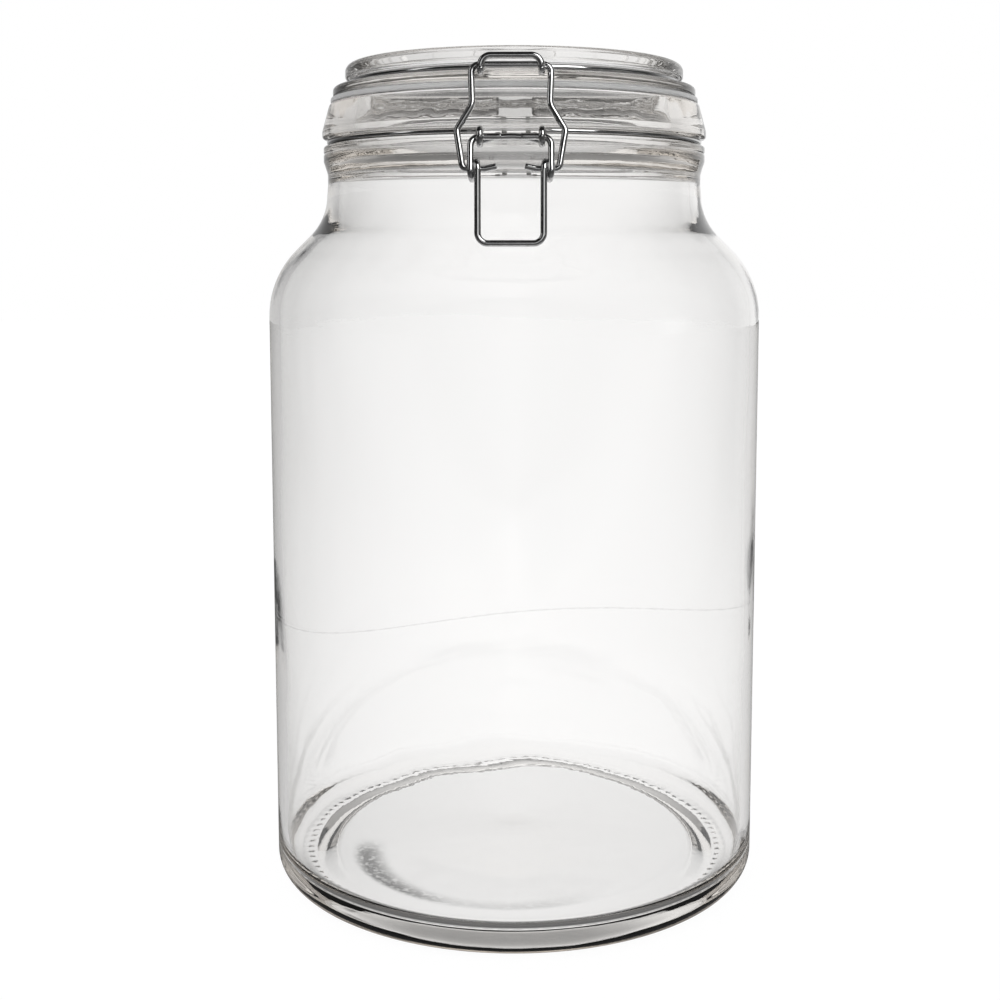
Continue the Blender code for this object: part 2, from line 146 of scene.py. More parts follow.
# --- glass lid ----------------------------------------------------------------------------------------
PLUG_R = 53.5 * MM
PLUG_WALL = 6.0 * MM
FLANGE_Z = GASKET_TOP_Z + GAP
RIM_H = 5.4 * MM
RIM_R = 60.0 * MM
RIM_WIDTH = 6.0 * MM
RIM_Z = LID_TOP_Z - RIM_H
LID_GROOVE_FLOOR_R = 56.7 * MM
LID_GROOVE_H = WIRE_D + 2 * GAP
LID_RING_R = LID_GROOVE_FLOOR_R + SLACK
FLANGE_TOP_Z = RIM_Z - LID_GROOVE_H
LID_RING_Z = FLANGE_TOP_Z + LID_GROOVE_H / 2
TOP_DISH = 4.0 * MM
LID_CENTRE_T = 7.0 * MM
PLUG_SLOPE_RUN = 3.0 * MM  # slope from the inside of the plug up to the lid's underside
PLUG_SLOPE_H = 4.0 * MM
DISH_RUN = 5.0 * MM
LID_SOFT_R = 5.0 * MM
PLUG_INNER_TIP_R = 1.5 * MM
PLUG_TIP_R = 2.0 * MM
PLUG_CORNER_R = 0.5 * MM
FLANGE_FOOT_R = 0.9 * MM
FLANGE_TOP_R = 1.3 * MM
LID_GROOVE_CORNER_R = 0.7 * MM
RIM_FOOT_R = 1.1 * MM
RIM_OUTER_R = 2.6 * MM
RIM_INNER_R = 2.2 * MM
DISH_R = 6.0 * MM

# --- rubber ring --------------------------------------------------------------------------------------
RING_EDGE_R = 0.5 * MM
RING_CHANNEL = 0.25 * MM
RING_CHANNEL_SLOPE = 1.2  # where the channel's floor starts, against where its wall does

# --- clamp, as half widths, heights and depths --------------------------------------------------------
BRIDGE_Y = -(BEAD_R + SLACK)
BRIDGE_RISE = 1.2 * MM
BRIDGE_BOW = 1.5 * MM
EYE_X = 9.6 * MM
CRADLE_X = 9.5 * MM
CRADLE_CORNER_R = 3.2 * MM
HANDLE_X = 10.2 * MM
HANDLE_OUT = 5.1 * MM
HANDLE_CORNER_R = 3.2 * MM
COIL_PITCH = WIRE_D + 0.2 * MM
COIL_HANG = 0.4 * MM
LEG_X = HANDLE_X + COIL_PITCH
LEG_BEND_R = 3.0 * MM
LEVER_LENGTH = 32.9 * MM
LEVER_PIN_END_X = 3.1 * MM
BAIL_FOOT_X = LEG_X + LOOP_R
BAIL_HIP_X = 16.9 * MM
BAIL_WAIST_X = 12.1 * MM
BAIL_TOP_X = 12.5 * MM
BAIL_PIN_END_X = 4.4 * MM
PIN_TIP_RISE = 0.8 * MM
HIP_DROP = 20.4 * MM
WAIST_DROP = 12.5 * MM
TROUGH_Z = FLANGE_TOP_Z - 1.6 * MM
TROUGH_BACK_Y = -(FLANGE_R + 1.2 * MM)
BAR_Y = TROUGH_BACK_Y - LOOP_R
BAR_Z = TROUGH_Z + LOOP_R
CRADLE_FRONT_Y = BAR_Y - LOOP_R - 1.4 * MM
CRADLE_TOP_Z = BAR_Z + 2.4 * MM
DROP_X = 5.5 * MM
REAR_EYE_X = DROP_X + BEND_R + WIRE_R + 0.2 * MM
HINGE_PIN_END_X = REAR_EYE_X + WIRE_R + 1.5 * MM
REAR_LOOP_SWEEP = 255.0


# ======================================================================================================
# Lines: corners into smooth routes
# ======================================================================================================


def fillet(corners, sag):
    """Each inner corner becomes an arc: centre + out cos(a) + along r sin(a), a from 0 to the turn.

    A corner is (point, radius). The arc's sides are short enough to stay within the sag.
    """
    corners = [(np.asarray(point, float), radius) for point, radius in corners]
    runs = [corners[0][0][None]]
    for (before, _), (corner, radius), (after, _) in zip(corners, corners[1:], corners[2:]):
        come = (corner - before) / np.linalg.norm(corner - before)
        go = (after - corner) / np.linalg.norm(after - corner)
        turn = math.acos(np.clip(come @ go, -1, 1))
        if radius == 0 or turn < 1e-6:
            runs.append(corner[None])
            continue
        centre = corner + (go - come) / np.linalg.norm(go - come) * radius / math.cos(turn / 2)
        out = corner - come * radius * math.tan(turn / 2) - centre
        count = max(2, math.ceil(turn / (2 * math.acos(1 - sag / radius))))
        angle = np.linspace(0, turn, count + 1)[:, None]
        runs.append(centre + out * np.cos(angle) + come * radius * np.sin(angle))
    runs.append(corners[-1][0][None])
    return np.concatenate(runs)


def without_repeats(points, nearest=1e-7):
    """The points of a line with each one that repeats the point before it left out."""
    steps = np.linalg.norm(np.diff(points, axis=0), axis=1)
    return points[np.concatenate([[True], steps > nearest])]


def split_long(points, longest):
    """The line with even points put into each side that is too long: p + (q - p) j / n for j below n."""
    lengths = np.linalg.norm(np.diff(points, axis=0), axis=1)
    pieces = np.maximum(1, np.ceil(lengths / longest)).astype(int)
    start = np.repeat(np.arange(len(pieces)), pieces)
    first = np.repeat(np.cumsum(pieces) - pieces, pieces)
    share = (np.arange(len(start)) - first) / pieces[start]
    inner = points[start] + (points[start + 1] - points[start]) * share[:, None]
    return np.concatenate([inner, points[-1:]])


def mirrored(half):
    """A route given from its middle outwards on the right, made whole by its mirror image on the left."""
    left = half[:0:-1] * [-1, 1, 1]
    return np.concatenate([left, half])


def turn_about_x(x, centre, radius, start, sweep, shift=0.0, sides=40):
    """A turn about an axis along X: (x + shift t, cy - r cos a, cz + r sin a), a = start + sweep t."""
    share = np.linspace(0, 1, sides + 1)
    angle = np.radians(start + sweep * share)
    y = centre[1] - radius * np.cos(angle)
    z = centre[2] + radius * np.sin(angle)
    return np.stack([x + shift * share, y, z], 1)


def ring_side(radius, z, front_x, rear_x, sides=240):
    """The right half of a ring from the front to the rear: (r sin a, -r cos a, z) between two half widths."""
    angle = np.linspace(math.asin(front_x / radius), math.pi - math.asin(rear_x / radius), sides)
    return np.stack([radius * np.sin(angle), -radius * np.cos(angle), np.full(sides, z)], 1)


# ======================================================================================================
# Meshes
# ======================================================================================================


def grid_faces(rows, columns, start=0):
    """Four-cornered faces of a grid that closes on itself along its columns, numbered from start."""
    row = np.arange(rows - 1)[:, None] * columns
    column = np.arange(columns)[None]
    after = (column + 1) % columns
    faces = np.stack([row + column, row + after, row + columns + after, row + columns + column], -1)
    return faces.reshape(-1, 4) + start


def enclosed_volume(points, faces):
    """Sum over the triangles of a . (b x c) / 6, which is positive when the faces point outwards."""
    a, b, c = (points[faces[:, k]] for k in range(3))
    return np.einsum("ij,ij->i", a, np.cross(b, c)).sum() / 6


def closed_mesh(name, grid, poles=None, uv=None):
    """An object from a grid of points (rows, columns, 3) that closes along its columns.

    With poles, its first and last rows are capped by a fan to each pole. Without, its rows close on
    themselves as well. Faces are turned outwards by the sign of the enclosed volume.
    """
    rows, columns = grid.shape[:2]
    points = grid.reshape(-1, 3)
    if poles is None:
        faces = grid_faces(rows + 1, columns) % (rows * columns)
        fans = np.zeros((0, 3), int)
    else:
        faces = grid_faces(rows, columns)
        points = np.concatenate([points, np.asarray(poles)])
        column = np.arange(columns)
        after = (column + 1) % columns
        low = np.stack([after, column, np.full(columns, rows * columns)], 1)
        top = np.stack([column, after, np.full(columns, rows * columns + 1)], 1)
        top[:, :2] += (rows - 1) * columns
        fans = np.concatenate([low, top])
    triangles = np.concatenate([faces[:, :3], faces[:, [0, 2, 3]], fans])
    if enclosed_volume(points, triangles) < 0:
        faces, fans = faces[:, ::-1], fans[:, ::-1]
    mesh = bpy.data.meshes.new(name)
    mesh.from_pydata(points, [], faces.tolist() + fans.tolist())
    mesh.polygons.foreach_set("use_smooth", np.ones(len(mesh.polygons), bool))
    if uv is not None:
        corner = np.empty(len(mesh.loops), np.int32)
        mesh.loops.foreach_get("vertex_index", corner)
        layer = mesh.uv_layers.new(name="along")
        layer.data.foreach_set("uv", uv[corner].ravel())
    mesh.update()
    obj = bpy.data.objects.new(name, mesh)
    bpy.context.scene.collection.objects.link(obj)
    return obj


def turned(name, profile, columns, relief=None, marks=None):
    """A profile (r, z) carried round the Z axis: (r sin a, -r cos a, z). Its ends on the axis become poles.

    relief(r, z, a) returns r and z with the small unevenness of every point of the grid, and
    marks(r, z, a) a map of the surface, before that unevenness.
    """
    angle = np.arange(columns) / columns * math.tau
    on_axis = profile[0, 0] < 1e-9
    body = profile[1:-1] if on_axis else profile
    r = np.repeat(body[:, :1], columns, 1)
    z = np.repeat(body[:, 1:], columns, 1)
    a = np.repeat(angle[None], len(body), 0)
    uv = None
    if marks is not None:
        uv = np.concatenate([marks(r, z, a).reshape(-1, 2), np.ones((2, 2))])
    if relief is not None:
        r, z = relief(r, z, a)
    grid = np.stack([r * np.sin(a), -r * np.cos(a), z], -1)
    poles = [(0, 0, profile[0, 1]), (0, 0, profile[-1, 1])] if on_axis else None
    return closed_mesh(name, grid, poles, uv)


def carried_frames(route):
    """Tangent, side and up at each point of a route.

    Each side is the one before it less its part along the tangent.
    """
    steps = np.diff(route, axis=0)
    steps /= np.linalg.norm(steps, axis=1)[:, None]
    tangent = np.concatenate([steps[:1], steps[:-1] + steps[1:], steps[-1:]])
    tangent /= np.linalg.norm(tangent, axis=1)[:, None]
    side = np.empty_like(tangent)
    last = np.array([0.0, 0.0, 1.0]) if abs(tangent[0, 2]) < 0.9 else np.array([1.0, 0.0, 0.0])
    for k, along in enumerate(tangent):
        last = last - along * (last @ along)
        last /= np.linalg.norm(last)
        side[k] = last
    return tangent, side, np.cross(tangent, side)


def round_wire(name, route, radius, end_round, sides=28):
    """A round section carried along a route: p + R (side cos b + up sin b), with its cut ends rounded over.

    At each end R falls from r to r - e as e (1 - cos c) while the section moves e sin c along the wire.
    """
    route = without_repeats(route)
    tangent, side, up = carried_frames(route)
    turn = np.linspace(0, math.pi / 2, 5)[1:]
    shrink = end_round * (1 - np.cos(turn))
    reach = end_round * np.sin(turn)
    start = route[0] + tangent[0] * end_round
    finish = route[-1] - tangent[-1] * end_round
    before = (start - tangent[0] * reach[:, None])[::-1]
    after = finish + tangent[-1] * reach[:, None]
    centres = np.concatenate([before, [start], route[1:-1], [finish], after])
    radii = np.concatenate([radius - shrink[::-1], np.full(len(route), radius), radius - shrink])
    pad = [(len(turn), len(turn)), (0, 0)]
    side = np.pad(side, pad, "edge")
    up = np.pad(up, pad, "edge")
    around = np.arange(sides) / sides * math.tau
    section = side[:, None] * np.cos(around)[:, None] + up[:, None] * np.sin(around)[:, None]
    grid = centres[:, None] + section * radii[:, None, None]
    length = np.concatenate([[0], np.cumsum(np.linalg.norm(np.diff(centres, axis=0), axis=1))])
    u = np.repeat(length[:, None], sides, 1)
    v = np.repeat((around / math.tau)[None], len(length), 0)
    v = 1 - np.abs(2 * v - 1)
    uv = np.concatenate([np.stack([u, v], -1).reshape(-1, 2), [[0, 0.5], [length[-1], 0.5]]])
    return closed_mesh(name, grid, [centres[0], centres[-1]], uv)


# ======================================================================================================
# Outlines and routes
# ======================================================================================================

GLASS_SAG = 0.012 * MM
WIRE_SAG = 0.008 * MM
GLASS_ROW_H = 6.5 * MM
LID_ROW_H = 2.5 * MM
WIRE_STEP = 1.2 * MM
BRIDGE_POINTS = 12

# relief of the jar's glass
KNURL_R = BODY_R - HEEL_R - 4.8 * MM  # middle of the short marks under the foot ring
KNURL_HALF_LENGTH = 1.1 * MM
KNURL_ROWS = np.array([-1.5, -0.9, -0.3, 0.3, 0.9, 1.5]) * MM
SETTLE_Z = 103.2 * MM  # mean height of the settle line round the body
SETTLE_HALF_WIDTH = 0.32 * MM
SETTLE_REACH = 28 * MM  # how far above and below the line the rows of points follow its waves
SETTLE_ROWS = np.array([-9, -4, -1.6, -0.9, -0.6, -0.3, 0, 0.3, 0.6, 0.9, 1.6, 4, 9]) * MM
SWELL_FOOT_Z = 20 * MM  # the inner wall is uneven from here
SWELL_TOP_Z = 212 * MM  # to here
SWELL_FADE = 30 * MM
LOW_SWELL_Z = 62 * MM  # the thicker glass low in the wall
LOW_SWELL_REACH = 34 * MM
RIPPLE_BAND_H = 10 * MM  # pressing marks below the mouth's lip


def jar_profile():
    """Underside, outside, finish and inside of the jar as one line of corners rounded by arcs."""
    slope_sum = NECK_FOOT_R + SHOULDER_TOP_Z
    bead_top = GROOVE_Z - GROOVE_H / 2
    dip_z = bead_top - BEAD_H
    foot_r = BODY_R - HEEL_R
    arch_r = foot_r - FOOT_WIDTH
    shelf_z = LAND_Z - COLLAR_INSIDE_H
    floor_z = PUSH_UP + FLOOR_T
    inside_r = BODY_R - WALL
    neck_inside = NECK_R - NECK_WALL
    inner_slope_sum = slope_sum - WALL * math.sqrt(2)
    corners = [
        ((0, PUSH_UP), 0),
        ((arch_r - ARCH_RUN, PUSH_UP - ARCH_SHORT), ARCH_R),
        ((arch_r, 0), FOOT_EDGE_R),
        ((BODY_R, 0), HEEL_R),
        ((BODY_R, slope_sum - BODY_R), SHOULDER_R),
        ((NECK_FOOT_R, SHOULDER_TOP_Z), NECK_FLARE_R),
        ((NECK_R, NECK_FOOT_Z + NECK_TAPER_H), WAIST_R),
        ((NECK_R, NECK_WAIST_Z), WAIST_R),
        ((BEAD_R, dip_z - BEAD_H), BEAD_FOOT_R),
        ((BEAD_R, dip_z - BEAD_DIP), BEAD_EDGE_R),
        ((BEAD_R - BEAD_DIP, dip_z), BEAD_DIP_R),
        ((BEAD_R, dip_z + BEAD_DIP), BEAD_EDGE_R),
        ((BEAD_R, bead_top), COLLAR_EDGE_R),
        ((GROOVE_FLOOR_R, bead_top), GROOVE_CORNER_R),
        ((GROOVE_FLOOR_R, bead_top + GROOVE_H), GROOVE_CORNER_R),
        ((COLLAR_FOOT_R, bead_top + GROOVE_H), COLLAR_EDGE_R),
        ((COLLAR_FOOT_R, bead_top + GROOVE_H + COLLAR_FOOT_H), COLLAR_CURVE_R),
        ((COLLAR_TOP_R, LAND_Z), COLLAR_LIP_R),
        ((MOUTH_R, LAND_Z), MOUTH_LIP_R),
        ((MOUTH_R, shelf_z), SHELF_R),
        ((neck_inside, shelf_z - SHELF_FALL), SHELF_FOOT_R),
        ((neck_inside, inner_slope_sum - neck_inside), NECK_FLARE_R),
        ((inside_r, inner_slope_sum - inside_r), SHOULDER_R - WALL),
        ((inside_r, floor_z - FLOOR_DISH), INNER_HEEL_R),
        ((0, floor_z), 0),
    ]
    line = fillet(corners, GLASS_SAG)
    flat_start = np.flatnonzero((line[:, 1] < 1e-9) & (line[:, 0] < KNURL_R))[-1]
    knurls = np.stack([KNURL_R + KNURL_ROWS, np.zeros(len(KNURL_ROWS))], 1)
    line = np.insert(line, flat_start + 1, knurls, 0)
    outer_wall = np.flatnonzero((line[:, 0] == BODY_R) & (line[:, 1] < SETTLE_Z))[-1]
    settle = np.stack([np.full(len(SETTLE_ROWS), BODY_R), SETTLE_Z + SETTLE_ROWS], 1)
    line = np.insert(line, outer_wall + 1, settle, 0)
    return split_long(without_repeats(line), GLASS_ROW_H)


def lid_profile():
    """Underside, plug, flange, groove, rim and dished top of the lid as one line of rounded corners."""
    dish_z = LID_TOP_Z - TOP_DISH
    corners = [
        ((0, dish_z - LID_CENTRE_T), 0),
        ((PLUG_R - PLUG_WALL - PLUG_SLOPE_RUN, LID_FOOT_Z + PLUG_SLOPE_H), LID_SOFT_R),
        ((PLUG_R - PLUG_WALL, LID_FOOT_Z), PLUG_INNER_TIP_R),
        ((PLUG_R, LID_FOOT_Z), PLUG_TIP_R),
        ((PLUG_R, FLANGE_Z), PLUG_CORNER_R),
        ((FLANGE_R, FLANGE_Z), FLANGE_FOOT_R),
        ((FLANGE_R, FLANGE_TOP_Z), FLANGE_TOP_R),
        ((LID_GROOVE_FLOOR_R, FLANGE_TOP_Z), LID_GROOVE_CORNER_R),
        ((LID_GROOVE_FLOOR_R, RIM_Z), LID_GROOVE_CORNER_R),
        ((RIM_R, RIM_Z), RIM_FOOT_R),
        ((RIM_R, LID_TOP_Z), RIM_OUTER_R),
        ((RIM_R - RIM_WIDTH, LID_TOP_Z), RIM_INNER_R),
        ((RIM_R - RIM_WIDTH - DISH_RUN, dish_z), DISH_R),
        ((0, dish_z), 0),
    ]
    return split_long(without_repeats(fillet(corners, GLASS_SAG)), LID_ROW_H)


def gasket_profile():
    """A flat rubber ring with rounded edges and a shallow channel in each face, as a closed line."""
    inner = PLUG_R + GAP
    third = (GASKET_R - inner) / 3
    floor_in = third * RING_CHANNEL_SLOPE
    corners = [
        ((inner + third / 2, GASKET_FOOT_Z), 0),
        ((inner + third, GASKET_FOOT_Z), RING_EDGE_R),
        ((inner + floor_in, GASKET_FOOT_Z + RING_CHANNEL), RING_EDGE_R),
        ((GASKET_R - floor_in, GASKET_FOOT_Z + RING_CHANNEL), RING_EDGE_R),
        ((GASKET_R - third, GASKET_FOOT_Z), RING_EDGE_R),
        ((GASKET_R, GASKET_FOOT_Z), RING_EDGE_R),
        ((GASKET_R, GASKET_TOP_Z), RING_EDGE_R),
        ((GASKET_R - third, GASKET_TOP_Z), RING_EDGE_R),
        ((GASKET_R - floor_in, GASKET_TOP_Z - RING_CHANNEL), RING_EDGE_R),
        ((inner + floor_in, GASKET_TOP_Z - RING_CHANNEL), RING_EDGE_R),
        ((inner + third, GASKET_TOP_Z), RING_EDGE_R),
        ((inner, GASKET_TOP_Z), RING_EDGE_R),
        ((inner, GASKET_FOOT_Z), RING_EDGE_R),
        ((inner + third / 2, GASKET_FOOT_Z), 0),
    ]
    return without_repeats(fillet(corners, GLASS_SAG))[:-1]


def neck_wire_route():
    """Bridge, eye for the lever, half a ring round the neck and a loop for the lid's pin, then mirrored."""
    low_z = LEVER_PIVOT[2] - LOOP_R
    bridge_x = np.linspace(0, EYE_X - 2 * BEND_R, BRIDGE_POINTS)
    bow = BRIDGE_BOW * (1 - (bridge_x / EYE_X) ** 2)
    bridge = np.stack([bridge_x, np.full(BRIDGE_POINTS, BRIDGE_Y), low_z + BRIDGE_RISE + bow], 1)
    into_eye = fillet(
        [
            (bridge[-1], 0),
            ((EYE_X, BRIDGE_Y, low_z + BRIDGE_RISE), BEND_R),
            ((EYE_X, LEVER_PIVOT[1], low_z), 0),
        ],
        WIRE_SAG,
    )
    eye = turn_about_x(EYE_X, LEVER_PIVOT, LOOP_R, -90, 180)
    ring = ring_side(RING_R, GROOVE_Z, EYE_X + 2 * BEND_R, REAR_EYE_X + 2 * BEND_R)
    into_ring = fillet(
        [
            ((EYE_X, LEVER_PIVOT[1], GROOVE_Z), 0),
            ((EYE_X, -math.sqrt(RING_R**2 - EYE_X**2), GROOVE_Z), BEND_R),
            (ring[0], 0),
        ],
        WIRE_SAG,
    )
    out_of_ring = fillet(
        [
            (ring[-1], 0),
            ((REAR_EYE_X, math.sqrt(RING_R**2 - REAR_EYE_X**2), GROOVE_Z), BEND_R),
            ((REAR_EYE_X, LID_HINGE[1], GROOVE_Z), 0),
        ],
        WIRE_SAG,
    )
    loop = turn_about_x(REAR_EYE_X, LID_HINGE, LOOP_R, 270, -REAR_LOOP_SWEEP)
    return mirrored(np.concatenate([bridge[:-1], into_eye, eye, into_ring, ring, out_of_ring, loop]))


def lid_wire_route():
    """Cradle, half a ring round the lid, the drop behind it and the hinge pin, then mirrored."""
    ring = ring_side(LID_RING_R, LID_RING_Z, CRADLE_X + 2 * BEND_R, DROP_X + 2 * BEND_R)
    cradle = fillet(
        [
            ((0, CRADLE_FRONT_Y, CRADLE_TOP_Z), 0),
            ((CRADLE_X, CRADLE_FRONT_Y, CRADLE_TOP_Z), CRADLE_CORNER_R),
            ((CRADLE_X, CRADLE_FRONT_Y, TROUGH_Z), BEND_R),
            ((CRADLE_X, TROUGH_BACK_Y, TROUGH_Z), BEND_R * 0.8),
            ((CRADLE_X, TROUGH_BACK_Y, LID_RING_Z), BEND_R * 0.8),
            ((CRADLE_X, -math.sqrt(LID_RING_R**2 - CRADLE_X**2), LID_RING_Z), BEND_R),
            (ring[0], 0),
        ],
        WIRE_SAG,
    )
    rear = fillet(
        [
            (ring[-1], 0),
            ((DROP_X, math.sqrt(LID_RING_R**2 - DROP_X**2), LID_RING_Z), BEND_R),
            ((DROP_X, LID_HINGE[1], LID_RING_Z), 2 * BEND_R),
            ((DROP_X, LID_HINGE[1], LID_HINGE[2]), BEND_R),
            ((HINGE_PIN_END_X, LID_HINGE[1], LID_HINGE[2]), 0),
        ],
        WIRE_SAG,
    )
    return mirrored(np.concatenate([cradle, ring, rear]))


def bail_route():
    """Bar, waist, hip and foot in one leaning plane and the pin that points inwards, then mirrored."""
    lean = (BAIL_PIVOT[1] - BAR_Y) / (BAIL_PIVOT[2] - BAR_Z)
    corners = [
        (0, 0, 0),
        (BAIL_TOP_X, 0, 1.5 * BEND_R),
        (BAIL_WAIST_X, WAIST_DROP, 3 * BEND_R),
        (BAIL_HIP_X, HIP_DROP, 1.5 * BEND_R),
    ]
    side = [((x, BAR_Y - drop * lean, BAR_Z - drop), radius) for x, drop, radius in corners]
    foot = ((BAIL_FOOT_X, BAIL_PIVOT[1], BAIL_PIVOT[2]), BEND_R)
    pin_rise_x = HANDLE_X - WIRE_D
    pin = [
        ((pin_rise_x, BAIL_PIVOT[1], BAIL_PIVOT[2]), BEND_R),
        ((BAIL_PIN_END_X, BAIL_PIVOT[1], BAIL_PIVOT[2] + PIN_TIP_RISE), 0),
    ]
    return mirrored(fillet([*side, foot, *pin], WIRE_SAG))


def lever_route():
    """Handle, one turn round the bail's pin, leg and the pin that points inwards, then mirrored."""
    bar_y = LEVER_PIVOT[1] - HANDLE_OUT
    bar_z = LEVER_PIVOT[2] - LEVER_LENGTH
    coil_r = LOOP_R + COIL_HANG
    coil_centre = BAIL_PIVOT - [0, 0, COIL_HANG]
    front_y = coil_centre[1] - coil_r
    arm = fillet(
        [
            ((0, bar_y, bar_z), 0),
            ((HANDLE_X, bar_y, bar_z), HANDLE_CORNER_R),
            ((HANDLE_X, front_y, coil_centre[2]), 0),
        ],
        WIRE_SAG,
    )
    coil = turn_about_x(HANDLE_X, coil_centre, coil_r, 0, 360, COIL_PITCH, 72)
    leg = fillet(
        [
            ((LEG_X, front_y, coil_centre[2]), 0),
            ((LEG_X, LEVER_PIVOT[1], LEVER_PIVOT[2]), LEG_BEND_R),
            ((LEVER_PIN_END_X, LEVER_PIVOT[1], LEVER_PIVOT[2]), 0),
        ],
        WIRE_SAG,
    )
    return mirrored(np.concatenate([arm, coil, leg]))


# ======================================================================================================
# Node helpers and shared effects
# ======================================================================================================


def node_group(name, inputs, outputs):
    """A new shader group with value inputs {name: default} after a Vector, and value outputs."""
    group = bpy.data.node_groups.new(name, "ShaderNodeTree")
    group.interface.new_socket("Vector", in_out="INPUT", socket_type="NodeSocketVector")
    for label, default in inputs.items():
        socket = group.interface.new_socket(label, in_out="INPUT", socket_type="NodeSocketFloat")
        socket.default_value = default
    for label in outputs:
        group.interface.new_socket(label, in_out="OUTPUT", socket_type="NodeSocketFloat")
    return group


def add_node(tree, kind, settings=None, **inputs):
    """A node with its settings and its unlinked input values or linked sockets, named by input."""
    node = tree.nodes.new(kind)
    for key, value in (settings or {}).items():
        setattr(node, key, value)
    for key, value in inputs.items():
        socket = node.inputs[int(key[1:])] if key[0] == "_" else node.inputs[key.replace("_", " ")]
        if isinstance(value, bpy.types.NodeSocket):
            tree.links.new(value, socket)
        else:
            socket.default_value = value
    return node


def arithmetic(tree, operation, first, second):
    return add_node(tree, "ShaderNodeMath", {"operation": operation}, _0=first, _1=second).outputs[0]


def ramp(tree, value, low, high, start, end):
    """A smooth step of the value: start below low, end beyond high."""
    return add_node(
        tree,
        "ShaderNodeMapRange",
        {"interpolation_type": "SMOOTHSTEP"},
        Value=value,
        From_Min=low,
        From_Max=high,
        To_Min=start,
        To_Max=end,
    ).outputs[0]


def product(tree, *values):
    result = values[0]
    for value in values[1:]:
        result = arithmetic(tree, "MULTIPLY", result, value)
    return result


def fire_polish_group():
    """Slow swells and fine ripple of pressed glass: the weighted sum of two noises, as a height."""
    group = node_group("Fire polish", {"Swell": 1.0, "Ripple": 1.0}, ["Height"])
    given = group.nodes.new("NodeGroupInput")
    swell_map = add_node(group, "ShaderNodeMapping", Vector=given.outputs["Vector"], Scale=(1, 1, 0.45))
    swell = add_node(group, "ShaderNodeTexNoise", Vector=swell_map.outputs[0], Scale=42, Detail=1)
    ripple_map = add_node(group, "ShaderNodeMapping", Vector=given.outputs["Vector"], Scale=(0.5, 0.5, 3))
    ripple = add_node(group, "ShaderNodeTexNoise", Vector=ripple_map.outputs[0], Scale=190, Detail=2)
    tall = arithmetic(group, "MULTIPLY", swell.outputs[0], given.outputs["Swell"])
    fine = arithmetic(group, "MULTIPLY", ripple.outputs[0], given.outputs["Ripple"])
    gone = group.nodes.new("NodeGroupOutput")
    group.links.new(arithmetic(group, "ADD", tall, fine), gone.inputs["Height"])
    return group


def principled(name, **inputs):
    """A new material, its node tree and its Principled shader with these plain values."""
    made = bpy.data.materials.new(name)
    made.use_nodes = True
    shader = made.node_tree.nodes["Principled BSDF"]
    for key, value in inputs.items():
        shader.inputs[key.replace("_", " ")].default_value = value
    return made, made.node_tree, shader


def glass_material(name, polish, swell, ripple, density):
    """Clear glass with a slight grey cast through its thickness and the fire-polish relief."""
    made, tree, shader = principled(
        name, Base_Color=(1, 1, 1, 1), Transmission_Weight=1.0, IOR=1.52, Roughness=0.0
    )
    place = add_node(tree, "ShaderNodeTexCoord")
    relief = add_node(tree, "ShaderNodeGroup", {"node_tree": polish}, Swell=swell, Ripple=ripple)
    tree.links.new(place.outputs["Object"], relief.inputs["Vector"])
    bump = add_node(tree, "ShaderNodeBump", Height=relief.outputs["Height"], Distance=0.0004, Strength=0.5)
    tree.links.new(bump.outputs[0], shader.inputs["Normal"])
    tint = add_node(tree, "ShaderNodeVolumeAbsorption", Color=(0.71, 0.63, 0.53, 1), Density=density)
    tree.links.new(tint.outputs[0], tree.nodes["Material Output"].inputs["Volume"])
    return made


def wire_material():
    """Bright drawn steel: lengthwise draw marks and soft cloudy tone, on the wire's own length and girth."""
    made, tree, shader = principled(
        "drawn_steel", Metallic=1.0, Roughness=0.12, Base_Color=(0.56, 0.56, 0.57, 1)
    )
    along = add_node(tree, "ShaderNodeUVMap", {"uv_map": "along"})
    stretch = add_node(tree, "ShaderNodeMapping", Vector=along.outputs[0], Scale=(60, 22, 1))
    marks = add_node(tree, "ShaderNodeTexNoise", Vector=stretch.outputs[0], Scale=1, Detail=3)
    cloud_map = add_node(tree, "ShaderNodeMapping", Vector=along.outputs[0], Scale=(400, 3, 1))
    cloud = add_node(tree, "ShaderNodeTexNoise", Vector=cloud_map.outputs[0], Scale=1, Detail=2)
    tone = add_node(tree, "ShaderNodeMapRange", Value=cloud.outputs[0], To_Min=0.44, To_Max=0.64)
    shade = add_node(tree, "ShaderNodeCombineColor", Red=tone.outputs[0], Green=tone.outputs[0])
    tree.links.new(tone.outputs[0], shade.inputs["Blue"])
    tree.links.new(shade.outputs[0], shader.inputs["Base Color"])
    dull = add_node(tree, "ShaderNodeMapRange", Value=marks.outputs[0], To_Min=0.05, To_Max=0.20)
    tree.links.new(dull.outputs[0], shader.inputs["Roughness"])
    bump = add_node(tree, "ShaderNodeBump", Height=marks.outputs[0], Distance=0.00001, Strength=0.5)
    tree.links.new(bump.outputs[0], shader.inputs["Normal"])
    return made


